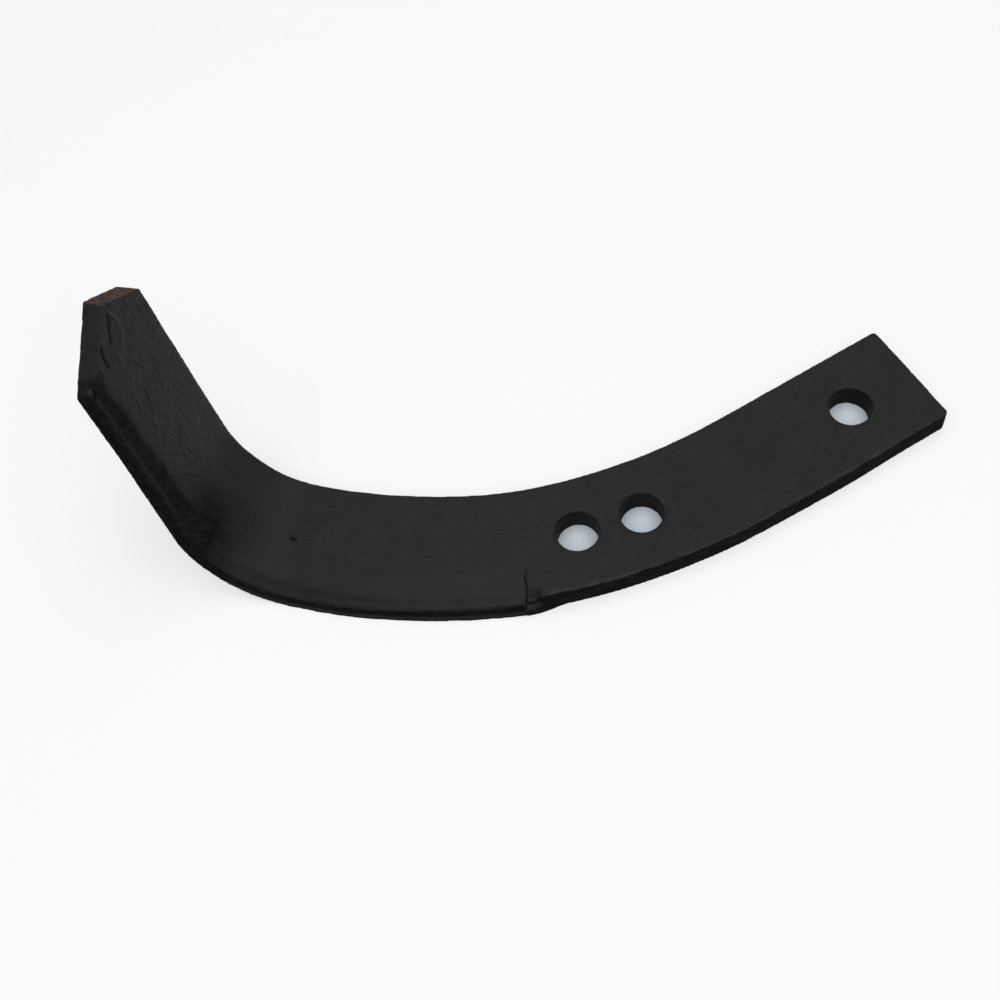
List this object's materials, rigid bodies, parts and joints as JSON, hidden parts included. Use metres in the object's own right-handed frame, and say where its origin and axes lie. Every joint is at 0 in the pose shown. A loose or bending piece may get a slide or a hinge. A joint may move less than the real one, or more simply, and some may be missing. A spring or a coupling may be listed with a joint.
{
  "type": "rotary tiller blade",
  "caption": "Curved flat-bar tiller blade: drilled shank, bevelled cutting edge behind a step, and a wing folded up to a cropped point.",
  "frame": {"origin": "axis of the bolt hole at the shank's square end, on the flat back face that bears on the rotor flange", "axes": "+Z out of the back face through the bolt holes, on the side the wing is folded to; Y along the fold; the wing lies towards -X and the shank's end towards +X"},
  "size_m": [0.2335, 0.0979, 0.0808],
  "materials": {
    "black_paint": "semi-gloss black paint over a rough forged surface, rust brown on the cropped corner"
  },
  "bodies": {
    "root": {"tiller_blade": "black_paint"}
  },
  "joints": []
}
